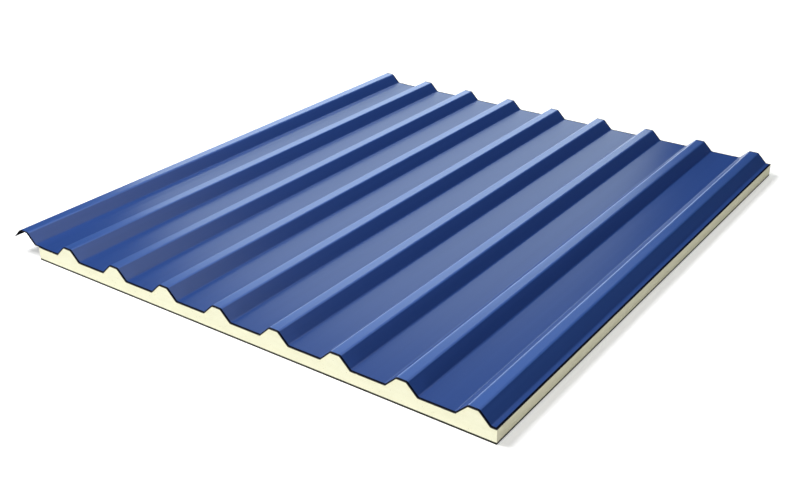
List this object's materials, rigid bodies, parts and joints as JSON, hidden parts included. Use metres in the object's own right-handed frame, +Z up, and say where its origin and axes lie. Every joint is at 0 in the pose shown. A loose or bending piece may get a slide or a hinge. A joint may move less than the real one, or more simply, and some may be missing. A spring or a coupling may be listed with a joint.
{
  "type": "insulated roof panel",
  "caption": "Insulated roof panel: ribbed painted steel sheet bonded on rigid foam with a flat steel liner, and a hollow lap rib on one side that covers the next panel.",
  "frame": {"origin": "middle of the underside's bounding rectangle, on the level that the panel rests on", "axes": "+X across the ribs from the lap rib to the flanged edge, +Y along the ribs, +Z up through the ribbed sheet"},
  "size_m": [1.0696, 1.2, 0.0478],
  "materials": {
    "blue_paint": "satin coil-coated steel, dark at its cut edges",
    "cream_foam": "sawn rigid foam, fine closed cells",
    "liner_coating": "matt grey-white coated steel, dark at its cut edges"
  },
  "bodies": {
    "root": {"top_sheet": "blue_paint", "foam_core": "cream_foam", "bottom_liner": "liner_coating"}
  },
  "joints": []
}
